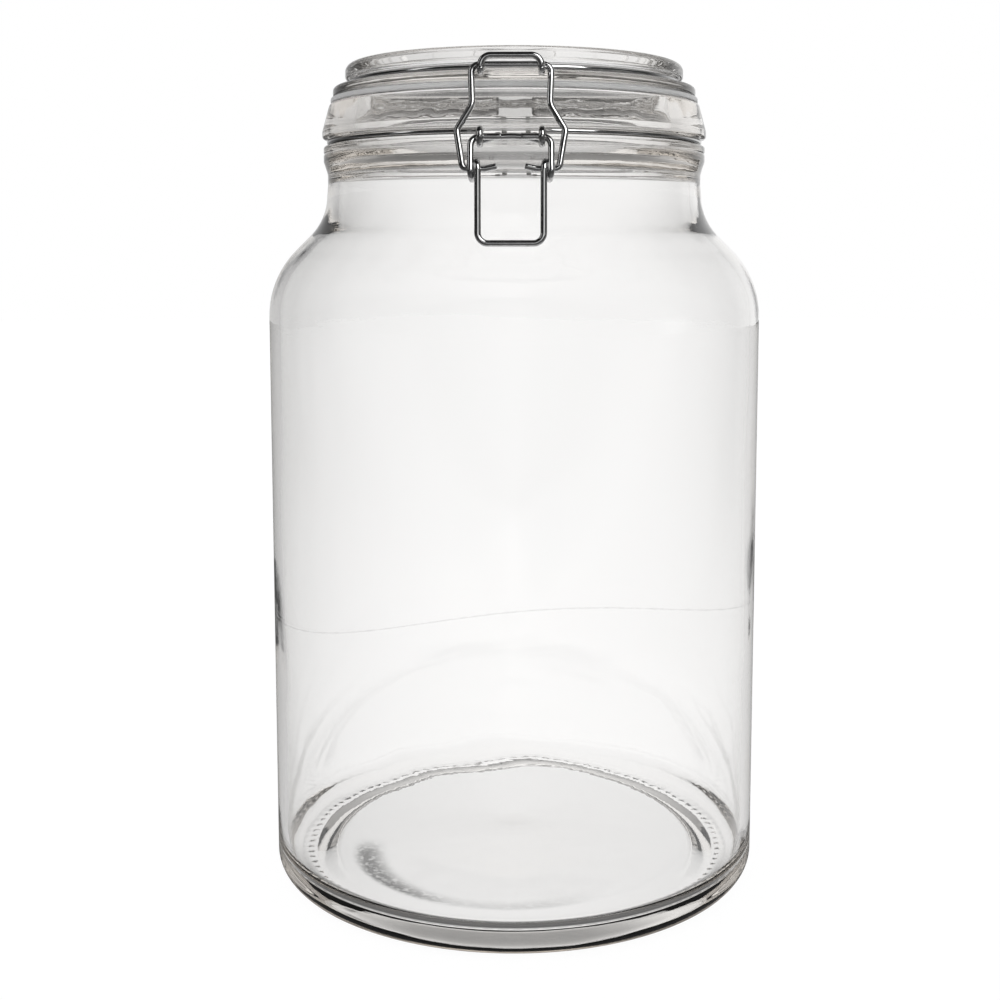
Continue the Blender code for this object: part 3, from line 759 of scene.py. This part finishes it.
def silicone_material():
    """Milky moulded silicone: soft, matt, a little light comes through, with a faint mottle."""
    made, tree, shader = principled(
        "milky_silicone",
        Base_Color=(0.93, 0.93, 0.91, 1),
        Roughness=0.35,
        Transmission_Weight=0.6,
        IOR=1.41,
    )
    place = add_node(tree, "ShaderNodeTexCoord")
    mottle = add_node(tree, "ShaderNodeTexNoise", Vector=place.outputs["Object"], Scale=240, Detail=3)
    tone = add_node(tree, "ShaderNodeMapRange", Value=mottle.outputs[0], To_Min=0.88, To_Max=0.97)
    shade = add_node(tree, "ShaderNodeCombineColor", Red=tone.outputs[0], Green=tone.outputs[0])
    tree.links.new(tone.outputs[0], shade.inputs["Blue"])
    tree.links.new(shade.outputs[0], shader.inputs["Base Color"])
    bump = add_node(tree, "ShaderNodeBump", Height=mottle.outputs[0], Distance=0.00003, Strength=0.4)
    tree.links.new(bump.outputs[0], shader.inputs["Normal"])
    return made


def paint_settle_line_and_hinge_shade(made):
    """A faint grey, broken line where the glass first met the mould, and painted shadow between the hinge's
    loops.

    The jar's own map gives each point's distance from the line, so the mark follows the line's waves, and
    how near the point is to the front (1) or the back (0). The line is on the front, the painted shadow at
    the back.
    """
    tree = made.node_tree
    shader = tree.nodes["Principled BSDF"]
    place = add_node(tree, "ShaderNodeUVMap", {"uv_map": "along"})
    parts = add_node(tree, "ShaderNodeSeparateXYZ", Vector=place.outputs[0])
    away = arithmetic(tree, "ABSOLUTE", parts.outputs["X"], 0.0)
    stretch = add_node(tree, "ShaderNodeMapping", Vector=place.outputs[0], Scale=(400, 60, 1))
    broken = add_node(tree, "ShaderNodeTexNoise", Vector=stretch.outputs[0], Scale=1, Detail=3)
    half = add_node(
        tree,
        "ShaderNodeMapRange",
        Value=broken.outputs[0],
        From_Min=0.3,
        From_Max=0.7,
        To_Min=0.1 * MM,
        To_Max=0.5 * MM,
    )
    inside = add_node(tree, "ShaderNodeMapRange", Value=away, From_Min=0.0, From_Max=half.outputs[0])
    on_line = arithmetic(tree, "SUBTRACT", 1.0, inside.outputs[0])
    on_front = ramp(tree, parts.outputs["Y"], 0.45, 0.6, 0.0, 0.32)
    line_tone = arithmetic(tree, "SUBTRACT", 1.0, product(tree, on_line, on_front))
    solid = add_node(tree, "ShaderNodeTexCoord").outputs["Object"]
    height = add_node(tree, "ShaderNodeSeparateXYZ", Vector=solid).outputs["Z"]
    # painted shadow of the hinge's loops: darker glass at the back, between the loops, at the groove's height
    between = product(
        tree,
        ramp(tree, parts.outputs["Y"], 0.046, 0.036, 0.0, 0.34),
        ramp(tree, height, GROOVE_Z - 6 * MM, GROOVE_Z - 4 * MM, 0.0, 1.0),
        ramp(tree, height, GROOVE_Z + 6 * MM, GROOVE_Z + 8 * MM, 1.0, 0.0),
    )
    tone = product(tree, line_tone, arithmetic(tree, "SUBTRACT", 1.0, between))
    shade = add_node(tree, "ShaderNodeCombineColor", Red=tone, Green=tone, Blue=tone)
    tree.links.new(shade.outputs[0], shader.inputs["Base Color"])


# swell, ripple and absorption density of each glass
GLASS_RELIEF = {"jar_glass": (1.0, 0.03, 9.0), "lid_glass": (0.6, 0.1, 3.5)}
MATERIALS = {}


def shared(name):
    """The finish of that name, made once: clear glass for the jar or the lid, drawn steel, or silicone."""
    if name not in MATERIALS:
        if name in ("jar_glass", "lid_glass"):
            polish = bpy.data.node_groups.get("Fire polish") or fire_polish_group()
            made = glass_material(name, polish, *GLASS_RELIEF[name])
            if name == "jar_glass":
                paint_settle_line_and_hinge_shade(made)
            MATERIALS[name] = made
        elif name == "drawn_steel":
            MATERIALS[name] = wire_material()
        else:
            MATERIALS[name] = silicone_material()
    return MATERIALS[name]


def finish_piece(obj, finish, body, node):
    """Gives a piece its finish, lets it ride on its body and stand for its CAD node."""
    obj.data.materials.append(shared(finish))
    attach(obj, body)
    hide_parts(node)


# ======================================================================================================
# Settings
# ======================================================================================================


class JarGlassSettings(bpy.types.PropertyGroup):
    """Relief of the blown and pressed glass."""

    columns: bpy.props.IntProperty(
        name="Columns", description="Points round the jar", default=400, min=64, max=420
    )
    wall_swell: bpy.props.FloatProperty(
        name="Wall swell",
        description="How far the inner wall wanders from a true round",
        default=0.18 * MM,
        unit="LENGTH",
        precision=5,
    )
    mouth_ripple: bpy.props.FloatProperty(
        name="Mouth ripple",
        description="Height of the uneven pressing marks inside the mouth",
        default=0.05 * MM,
        unit="LENGTH",
        precision=5,
    )
    settle_depth: bpy.props.FloatProperty(
        name="Settle line",
        description="Depth of the wavy line that the glass leaves where it first met the mould",
        default=0.015 * MM,
        unit="LENGTH",
        precision=5,
    )
    knurls: bpy.props.IntProperty(
        name="Foot marks", description="Short grooves round the foot ring", default=100
    )
    knurl_depth: bpy.props.FloatProperty(
        name="Foot mark depth",
        description="Depth of each groove",
        default=0.42 * MM,
        unit="LENGTH",
        precision=5,
    )


class WireSettings(bpy.types.PropertyGroup):
    """The clamp's wire."""

    diameter: bpy.props.FloatProperty(
        name="Wire", description="Diameter of the wire", default=WIRE_D, unit="LENGTH", precision=5
    )
    end_round: bpy.props.FloatProperty(
        name="End rounding",
        description="How far the sheared ends are rounded over",
        default=0.18 * MM,
        unit="LENGTH",
        precision=5,
    )


class StageSettings(bpy.types.PropertyGroup):
    """Floor, light and camera."""

    floor_colour: bpy.props.FloatVectorProperty(
        name="Floor", description="Colour of the floor", subtype="COLOR", default=(1.0, 1.0, 1.0)
    )
    camera_distance: bpy.props.FloatProperty(
        name="Camera distance", description="Level distance from the jar's axis", default=0.527, unit="LENGTH"
    )
    camera_height: bpy.props.FloatProperty(
        name="Camera height", description="Height above the floor", default=0.2271, unit="LENGTH"
    )


# ======================================================================================================
# Operators
# ======================================================================================================


def settle_wave(angle):
    """Height of the settle line above its mean: the sum of four cosines of the angle round the jar."""
    return (
        4.1 * MM * np.cos(angle - 0.6)
        + 5.4 * MM * np.cos(2 * angle - 0.38)
        + 1.5 * MM * np.cos(3 * angle - 0.41)
        + 0.7 * MM * np.cos(4 * angle - 0.31)
    )


class JAR_OT_glass_jar(bpy.types.Operator):
    """Build the glass body of the jar"""

    bl_idname = "jar.glass_jar"
    bl_label = "Glass jar"

    def execute(self, context):
        settings = context.scene.jar_glass

        def relief(r, z, a):
            """Adds the settle line, the uneven inner wall and the marks under the foot."""
            inside_r = BODY_R - WALL
            fade_in = np.clip((z - SWELL_FOOT_Z) / SWELL_FADE, 0, 1)
            fade_out = np.clip((SWELL_TOP_Z - z) / SWELL_FADE, 0, 1)
            outer = (r > BODY_R - 1e-6) & (z > HEEL_R)
            near = np.exp(-(((z - SETTLE_Z) / SETTLE_REACH) ** 2))
            line = np.exp(-(((z - SETTLE_Z) / SETTLE_HALF_WIDTH) ** 2)) * np.clip(np.cos(a) * 2, 0, 1)
            shifted = np.where(outer, z + settle_wave(a) * near, z)
            r = np.where(outer, r - settings.settle_depth * line, r)
            inner = (r < inside_r + 1e-6) & (z > SWELL_FOOT_Z) & (z < SWELL_TOP_Z)
            low = np.exp(-(((z - LOW_SWELL_Z) / LOW_SWELL_REACH) ** 2)) * (0.6 + 0.4 * np.sin(a))
            swell = (
                0.45 * np.sin(2 * a + 90 * z)
                + 0.35 * np.sin(5 * a - 4 + 50 * z)
                + 0.20 * np.sin(9 * a + 2 + 140 * z) * low
            )
            ripple = 0.6 * low * np.sin(13 * a + 1 + 260 * z)
            r = np.where(inner, r + settings.wall_swell * (swell + ripple) * fade_in * fade_out, r)
            mouth = (np.abs(r - MOUTH_R) < 1e-6) & (z > LAND_Z - COLLAR_INSIDE_H)
            across = np.sin(math.pi * np.clip((LAND_Z - MOUTH_LIP_R - z) / RIPPLE_BAND_H, 0, 1))
            pulled = np.sin(31 * a + 900 * z) + 0.7 * np.sin(47 * a + 2 - 500 * z) + 0.6 * np.sin(19 * a + 1)
            r = np.where(mouth, r + settings.mouth_ripple * pulled * across, r)
            foot = (z < 0.05 * MM) & (r > BODY_R - HEEL_R - FOOT_WIDTH)
            ring = np.exp(-(((r - KNURL_R) / KNURL_HALF_LENGTH) ** 2))
            groove = settings.knurl_depth * ring * (0.5 - 0.5 * np.cos(settings.knurls * a))
            return r, np.where(foot, shifted + groove, shifted)

        def marks(r, z, a):
            """Distance above the settle line on the outside, and the share of the way round."""
            away = np.where((r > BODY_R - 1e-6) & (z > HEEL_R), z - SETTLE_Z, 1.0)
            return np.stack([away, np.abs(a / math.pi - 1)], -1)

        jar = turned("jar_body", jar_profile(), settings.columns, relief, marks)
        finish_piece(jar, "jar_glass", "jar", "glass_jar")
        return {"FINISHED"}


class JAR_OT_glass_lid(bpy.types.Operator):
    """Build the pressed glass lid"""

    bl_idname = "jar.glass_lid"
    bl_label = "Glass lid"

    def execute(self, context):
        lid = turned("lid_glass", lid_profile(), 360)
        finish_piece(lid, "lid_glass", "lid", "glass_lid")
        return {"FINISHED"}


class JAR_OT_gasket(bpy.types.Operator):
    """Build the rubber ring between the lid and the jar"""

    bl_idname = "jar.gasket"
    bl_label = "Rubber ring"

    def execute(self, context):
        ring = turned("rubber_ring", gasket_profile(), 360)
        finish_piece(ring, "silicone", "lid", "gasket")
        return {"FINISHED"}


class JAR_OT_wires(bpy.types.Operator):
    """Build the four bent wires of the clamp and the hinge"""

    bl_idname = "jar.wires"
    bl_label = "Wires"

    def execute(self, context):
        settings = context.scene.jar_wire
        made = (
            ("neck_wire_fine", neck_wire_route(), "jar", "neck_wire"),
            ("lid_wire_fine", lid_wire_route(), "lid", "lid_wire"),
            ("lever_fine", lever_route(), "lever", "lever"),
            ("bail_fine", bail_route(), "bail", "bail"),
        )
        for name, route, body, node in made:
            route = split_long(without_repeats(route), WIRE_STEP)
            piece = round_wire(name, route, settings.diameter / 2, settings.end_round)
            finish_piece(piece, "drawn_steel", body, node)
        return {"FINISHED"}


# --- lamps, floor and camera --------------------------------------------------------------------------
# name, degrees round from the front, degrees up, width and height in metres, watts
SOFTBOXES = (
    ("key_softbox", 34, 34, (0.8, 1.0), 13),
    ("left_softbox", -70, 25, (0.25, 1.0), 1.2),
    ("low_softbox", 14, 4, (1.0, 0.35), 1.1),
)
LAMP_REACH = 1.5
GLASS_BOUNCES = 24
MIRROR_BOUNCES = 12
FLOOR_R = 4.0
FLOOR_SIDES = 96
FLOOR_DROP = 0.2 * MM
FLOOR_GLOW = 0.96
FLOOR_PAINT = 0.06
FLOOR_MIRRORED = 0.15
# painted shade on the floor that shows through the glass: where it starts, is full, starts to fade and ends
FOOT_SHADE = (74 * MM, 80 * MM, 90 * MM, 108 * MM)
CRESCENT_SHADE = (43 * MM, 51 * MM, 53 * MM, 58 * MM)
CRESCENT_CENTRE = (-3 * MM, -3 * MM, 0)
# how dark the painted shade of the ring and of the crescent is
FOOT_DARKNESS = 0.88
CRESCENT_DARKNESS = 0.8
# painted shade: the floor under the whole base is a little darker
UNDER_BASE = 0.93  # the floor under the base, as a share of the floor around it
CAMERA_TURN = 0.8
CAMERA_FALL = 6.14
CAMERA_LENS = 52.13
CAMERA_SHIFT = (-0.0142, -0.1)


def distance(tree, vector):
    """The length of a vector."""
    return add_node(tree, "ShaderNodeVectorMath", {"operation": "LENGTH"}, _0=vector).outputs["Value"]


def band(tree, value, start, full, fade, end):
    """A smooth band of the value: 0 below start, 1 from full to fade and 0 beyond end."""
    return product(tree, ramp(tree, value, start, full, 0.0, 1.0), ramp(tree, value, fade, end, 1.0, 0.0))


def studio_walls_group():
    """How bright the studio is in each direction: Seen through glass, and Mirrored by glass and wire.

    Both are products of smooth steps of the direction's parts: dimmer to the left, overhead and on the
    camera's side. The mirrored studio has more contrast, with a low pale board on the camera's side.
    """
    group = node_group("Studio walls", {}, ["Seen", "Mirrored"])
    given = group.nodes.new("NodeGroupInput")
    way = add_node(group, "ShaderNodeVectorMath", {"operation": "NORMALIZE"}, _0=given.outputs["Vector"])
    parts = add_node(group, "ShaderNodeSeparateXYZ", Vector=way.outputs[0])
    x, y, z = (parts.outputs[axis] for axis in "XYZ")
    seen = product(
        group,
        ramp(group, z, 0.0, 0.75, 1.05, 0.32),
        ramp(group, x, -0.02, -0.35, 1.0, 0.68),
        ramp(group, x, -0.35, -0.95, 1.0, 0.75),
        ramp(group, x, 0.03, 0.30, 1.0, 0.88),
        ramp(group, x, 0.40, 0.95, 1.0, 0.70),
        ramp(group, y, -0.1, -0.8, 1.0, 0.42),
    )
    backdrop = product(
        group,
        ramp(group, y, 0.2, 0.9, 0.06, 0.9),
        ramp(group, x, -0.95, 0.3, 0.2, 1.0),
        ramp(group, z, 0.2, 0.8, 1.0, 0.25),
    )
    board = product(
        group,
        ramp(group, x, -0.66, -0.60, 0.0, 1.0),
        ramp(group, x, 0.97, 0.90, 1.0, 0.0),
        ramp(group, z, 0.02, 0.12, 1.0, 0.0),
        ramp(group, y, 0.0, -0.2, 0.0, 0.55),
    )
    gone = group.nodes.new("NodeGroupOutput")
    group.links.new(seen, gone.inputs["Seen"])
    group.links.new(arithmetic(group, "ADD", backdrop, board), gone.inputs["Mirrored"])
    return group


def studio_strength(tree, walls, direct, seen_share=1.0, mirrored_share=1.0):
    """The walls' brightness for each kind of ray: seen through glass, mirrored, or else the direct value."""
    path = add_node(tree, "ShaderNodeLightPath")
    through = path.outputs["Is Transmission Ray"]
    not_through = arithmetic(tree, "SUBTRACT", 1.0, through)
    mirror = product(tree, path.outputs["Is Glossy Ray"], not_through)
    rest = arithmetic(tree, "SUBTRACT", not_through, mirror)
    bright = arithmetic(
        tree,
        "ADD",
        product(tree, through, walls.outputs["Seen"], seen_share),
        product(tree, mirror, walls.outputs["Mirrored"], mirrored_share),
    )
    return arithmetic(tree, "ADD", bright, product(tree, rest, direct))


def studio_world(walls_group):
    """A white studio whose walls are the Studio walls group."""
    world = bpy.data.worlds.new("studio")
    world.use_nodes = True
    tree = world.node_tree
    tree.nodes.clear()
    place = add_node(tree, "ShaderNodeTexCoord")
    walls = add_node(tree, "ShaderNodeGroup", {"node_tree": walls_group}, Vector=place.outputs["Generated"])
    strength = studio_strength(tree, walls, 1.0)
    light = add_node(tree, "ShaderNodeBackground", Color=(1, 1, 1, 1), Strength=strength)
    out = tree.nodes.new("ShaderNodeOutputWorld")
    tree.links.new(light.outputs[0], out.inputs["Surface"])
    bpy.context.scene.world = world


def softbox(name, azimuth, elevation, size, power, lit):
    """A large soft lamp, aimed at the neck, that lights only the pieces of one collection."""
    data = bpy.data.lights.new(name, "AREA")
    data.shape = "RECTANGLE"
    data.size, data.size_y = size
    data.energy = power
    lamp = bpy.data.objects.new(name, data)
    turn, rise = math.radians(azimuth), math.radians(elevation)
    away = Vector((math.sin(turn) * math.cos(rise), -math.cos(turn) * math.cos(rise), math.sin(rise)))
    lamp.location = Vector((0, 0, LAND_Z)) + LAMP_REACH * away
    lamp.rotation_euler = away.to_track_quat("Z", "Y").to_euler()
    lamp.visible_camera = False
    lamp.visible_transmission = False
    bpy.context.scene.collection.objects.link(lamp)
    lamp.light_linking.receiver_collection = lit


class JAR_OT_stage(bpy.types.Operator):
    """Set the floor, the studio light and the camera"""

    bl_idname = "jar.stage"
    bl_label = "Stage"

    def execute(self, context):
        settings = context.scene.jar_stage
        angle = np.arange(FLOOR_SIDES) / FLOOR_SIDES * math.tau
        rim = FLOOR_R * np.stack([np.cos(angle), np.sin(angle), np.zeros(FLOOR_SIDES)], 1)
        rim[:, 2] = -FLOOR_DROP
        mesh = bpy.data.meshes.new("floor")
        mesh.from_pydata(rim, [], [list(range(FLOOR_SIDES))])
        floor = bpy.data.objects.new("floor", mesh)
        context.scene.collection.objects.link(floor)
        walls = studio_walls_group()
        mesh.materials.append(self.floor_material(settings.floor_colour, walls))
        studio_world(walls)
        wires = bpy.data.collections.new("wires")
        for piece in bpy.data.objects:
            if piece.type == "MESH" and piece.active_material == MATERIALS["drawn_steel"]:
                wires.objects.link(piece)
        for lamp in SOFTBOXES:
            softbox(*lamp, wires)
        self.camera(context.scene, settings)
        context.scene.view_settings.view_transform = "Standard"
        context.scene.cycles.max_bounces = GLASS_BOUNCES
        context.scene.cycles.transmission_bounces = GLASS_BOUNCES
        context.scene.cycles.glossy_bounces = MIRROR_BOUNCES
        return {"FINISHED"}

    def floor_material(self, colour, walls_group):
        """A pale floor that is as bright as the studio wall above it in each direction.

        It has a painted ring of shade in front of the foot, a mottled crescent of painted shade under the
        base and painted shade under the whole base, which show only through the glass.
        """
        made = bpy.data.materials.new("pale_floor")
        made.use_nodes = True
        tree = made.node_tree
        tree.nodes.clear()
        place = add_node(tree, "ShaderNodeTexCoord")
        from_front = add_node(
            tree, "ShaderNodeMapping", Vector=place.outputs["Object"], Location=(0, 0.5, 0), Scale=(1, 1, 0)
        )
        walls = add_node(tree, "ShaderNodeGroup", {"node_tree": walls_group}, Vector=from_front.outputs[0])
        away = distance(tree, place.outputs["Object"])
        parts = add_node(tree, "ShaderNodeSeparateXYZ", Vector=place.outputs["Object"])
        x, y = parts.outputs["X"], parts.outputs["Y"]
        # painted shade: a dark ring on the floor in front of the foot
        painted_foot_ring_shade = product(tree, band(tree, away, *FOOT_SHADE), ramp(tree, y, 0.0, -0.05, 0.0, 1.0))
        aside = add_node(
            tree,
            "ShaderNodeVectorMath",
            {"operation": "SUBTRACT"},
            _0=place.outputs["Object"],
            _1=CRESCENT_CENTRE,
        )
        speckle = add_node(tree, "ShaderNodeTexNoise", Vector=place.outputs["Object"], Scale=420, Detail=3)
        # painted shade: a mottled crescent on the floor under the base
        under = product(
            tree,
            band(tree, distance(tree, aside.outputs[0]), *CRESCENT_SHADE),
            ramp(tree, y, 0.004, -0.012, 0.0, 1.0),
            ramp(tree, x, -0.016, -0.042, 0.3, 1.0),
            ramp(tree, x, 0.034, 0.008, 0.0, 1.0),
            ramp(tree, speckle.outputs[0], 0.3, 0.55, 0.4, 1.0),
        )
        # the painted shades, and painted shade under the whole base, dim the floor only where it is seen
        # through the glass
        shade = product(
            tree,
            arithmetic(tree, "SUBTRACT", 1.0, product(tree, painted_foot_ring_shade, FOOT_DARKNESS)),
            arithmetic(tree, "SUBTRACT", 1.0, product(tree, under, CRESCENT_DARKNESS)),
            ramp(tree, away, 0.07, 0.075, UNDER_BASE, 1.0),
        )
        strength = product(tree, studio_strength(tree, walls, 1.0, shade, FLOOR_MIRRORED), FLOOR_GLOW)
        glow = add_node(tree, "ShaderNodeEmission", Color=(*colour, 1), Strength=strength)
        paint = add_node(tree, "ShaderNodeBsdfDiffuse", Color=(*(FLOOR_PAINT * c for c in colour), 1))
        both = add_node(tree, "ShaderNodeAddShader", _0=glow.outputs[0], _1=paint.outputs[0])
        out = tree.nodes.new("ShaderNodeOutputMaterial")
        tree.links.new(both.outputs[0], out.inputs["Surface"])
        return made

    def camera(self, scene, settings):
        """Camera in front, turned a little to the right, looking slightly down, its lens shifted a little."""
        turn = math.radians(CAMERA_TURN)
        data = bpy.data.cameras.new("camera")
        data.sensor_width = 36
        data.lens = CAMERA_LENS
        data.shift_x, data.shift_y = CAMERA_SHIFT
        camera = bpy.data.objects.new("camera", data)
        reach = settings.camera_distance
        camera.location = (reach * math.sin(turn), -reach * math.cos(turn), settings.camera_height)
        camera.rotation_euler = (math.radians(90 - CAMERA_FALL), 0, turn)
        scene.collection.objects.link(camera)
        scene.camera = camera


class JAR_PT_panel(bpy.types.Panel):
    """Lists the jar's pieces in the 3D view's sidebar"""

    bl_label = "Clip-top jar"
    bl_space_type = "VIEW_3D"
    bl_region_type = "UI"
    bl_category = "Jar"

    def draw(self, context):
        for group, operators in (
            (context.scene.jar_glass, ("jar.glass_jar", "jar.glass_lid", "jar.gasket")),
            (context.scene.jar_wire, ("jar.wires",)),
            (context.scene.jar_stage, ("jar.stage",)),
        ):
            box = self.layout.box()
            for label in group.__annotations__:
                box.prop(group, label)
            for operator in operators:
                box.operator(operator)


CLASSES = (
    JarGlassSettings,
    WireSettings,
    StageSettings,
    JAR_OT_glass_jar,
    JAR_OT_glass_lid,
    JAR_OT_gasket,
    JAR_OT_wires,
    JAR_OT_stage,
    JAR_PT_panel,
)


def register():
    for item in CLASSES:
        bpy.utils.register_class(item)
    bpy.types.Scene.jar_glass = bpy.props.PointerProperty(type=JarGlassSettings)
    bpy.types.Scene.jar_wire = bpy.props.PointerProperty(type=WireSettings)
    bpy.types.Scene.jar_stage = bpy.props.PointerProperty(type=StageSettings)


def unregister():
    del bpy.types.Scene.jar_glass
    del bpy.types.Scene.jar_wire
    del bpy.types.Scene.jar_stage
    for item in reversed(CLASSES):
        bpy.utils.unregister_class(item)


def main():
    register()
    bpy.ops.jar.glass_jar()
    bpy.ops.jar.glass_lid()
    bpy.ops.jar.gasket()
    bpy.ops.jar.wires()
    bpy.ops.jar.stage()


if __name__ == "__main__":
    main()
